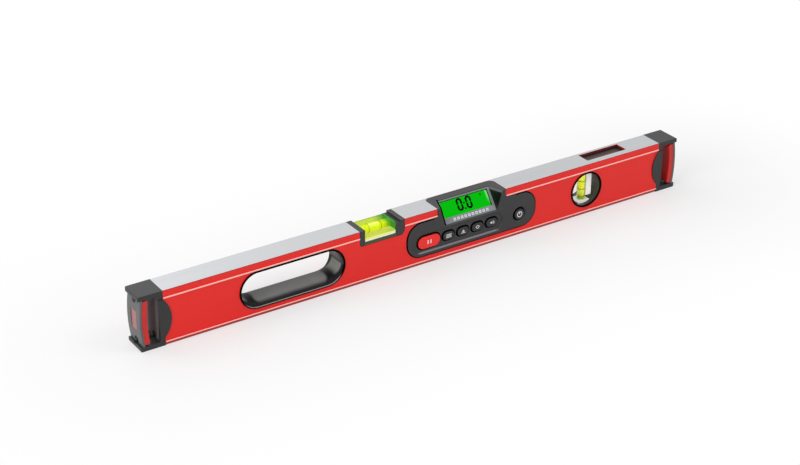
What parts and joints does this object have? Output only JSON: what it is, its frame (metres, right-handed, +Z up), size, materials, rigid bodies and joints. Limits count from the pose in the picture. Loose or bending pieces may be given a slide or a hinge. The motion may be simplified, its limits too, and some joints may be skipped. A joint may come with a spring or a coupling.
{
  "type": "digital spirit level",
  "caption": "Box-profile spirit level with hand hole, level and plumb vials, sight slot, bumper end caps and an electronic angle module with tilted display and push buttons.",
  "frame": {"origin": "middle of the lower measuring face, at the bottom of the profile", "axes": "+X along the length towards the sight slot, +Y from the front with the display to the rear, +Z up"},
  "size_m": [0.61, 0.027, 0.055],
  "materials": {
    "red_paint": "satin",
    "cap_black": "satin",
    "bumper_red": "satin",
    "bumper_black": "matte",
    "screw_steel": "plated",
    "grip_black": "gloss",
    "grip_soft": "satin",
    "vial_black": "satin",
    "white_plastic": "matte",
    "vial_clear": "clear",
    "vial_liquid": "clear",
    "vial_mark": "printed",
    "bubble": "clear",
    "lens_smoke": "smoked",
    "mirror": "polished",
    "module_charcoal": "fine texture",
    "frame_grey": "matte",
    "display_green": "lit",
    "light_guide": "frosted",
    "board_green": "solder mask",
    "chip_black": "matte",
    "cell_jacket": "satin",
    "key_red": "satin",
    "key_black": "satin"
  },
  "bodies": {
    "frame": {"box_profile": "red_paint", "right_cap_body": "cap_black", "left_cap_body": "cap_black", "right_bumper_core": "bumper_red", "left_bumper_core": "bumper_red", "right_bumper_skin": "bumper_black", "left_bumper_skin": "bumper_black", "cap_screws": "screw_steel", "grip_front_shell": "grip_black", "grip_rear_shell": "grip_black", "grip_pad": "grip_soft", "vial_cradle": "vial_black", "level_reflector": "white_plastic", "level_vial_body": "vial_clear", "level_vial_liquid": "vial_liquid", "level_vial_rings": "vial_mark", "level_vial_plug": "vial_black", "plumb_front_bezel": "vial_black", "plumb_rear_bezel": "vial_black", "plumb_holder": "white_plastic", "plumb_vial_body": "vial_clear", "plumb_vial_liquid": "vial_liquid", "plumb_vial_rings": "vial_mark", "plumb_vial_plug": "vial_black", "sight_lens": "lens_smoke", "sight_mirror": "mirror", "mirror_bracket": "vial_black", "module_front_case": "module_charcoal", "module_rear_case": "module_charcoal", "module_screws": "screw_steel", "display_bezel": "frame_grey", "display_panel": "display_green", "backlight": "light_guide", "main_board": "board_green", "dome_switches": "screw_steel", "tilt_sensor": "chip_black", "buzzer": "chip_black", "battery_cells": "cell_jacket", "battery_contacts": "screw_steel"},
    "power_button": {"power_button": "key_black"},
    "hold_button": {"hold_button": "key_red"},
    "mode_button": {"mode_button": "key_black"},
    "memory_button": {"memory_button": "key_black"},
    "calibrate_button": {"calibrate_button": "key_black"},
    "sound_button": {"sound_button": "key_black"},
    "level_bubble": {"level_bubble": "bubble"},
    "plumb_bubble": {"plumb_bubble": "bubble"},
    "battery_door": {"battery_door": "module_charcoal"}
  },
  "joints": [
    {"name": "power_press", "type": "slide", "parent": "frame", "child": "power_button", "axis": [0, 1, 0], "range_m": [0, 0.0008], "stiffness_N_per_m": 500, "springref_m": -0.001},
    {"name": "hold_press", "type": "slide", "parent": "frame", "child": "hold_button", "axis": [0, 1, 0], "range_m": [0, 0.0008], "stiffness_N_per_m": 500, "springref_m": -0.001},
    {"name": "mode_press", "type": "slide", "parent": "frame", "child": "mode_button", "axis": [0, 1, 0], "range_m": [0, 0.0008], "stiffness_N_per_m": 500, "springref_m": -0.001},
    {"name": "memory_press", "type": "slide", "parent": "frame", "child": "memory_button", "axis": [0, 1, 0], "range_m": [0, 0.0008], "stiffness_N_per_m": 500, "springref_m": -0.001},
    {"name": "calibrate_press", "type": "slide", "parent": "frame", "child": "calibrate_button", "axis": [0, 1, 0], "range_m": [0, 0.0008], "stiffness_N_per_m": 500, "springref_m": -0.001},
    {"name": "sound_press", "type": "slide", "parent": "frame", "child": "sound_button", "axis": [0, 1, 0], "range_m": [0, 0.0008], "stiffness_N_per_m": 500, "springref_m": -0.001},
    {"name": "level_bubble_run", "type": "slide", "parent": "frame", "child": "level_bubble", "axis": [1, 0, 0], "range_m": [-0.005, 0.005], "stiffness_N_per_m": 2},
    {"name": "plumb_bubble_run", "type": "slide", "parent": "frame", "child": "plumb_bubble", "axis": [0, 0, 1], "range_m": [-0.011, 0], "stiffness_N_per_m": 5, "springref_m": 0.004},
    {"name": "battery_door_lift", "type": "slide", "parent": "frame", "child": "battery_door", "axis": [0, 1, 0], "range_m": [0, 0.02]}
  ]
}
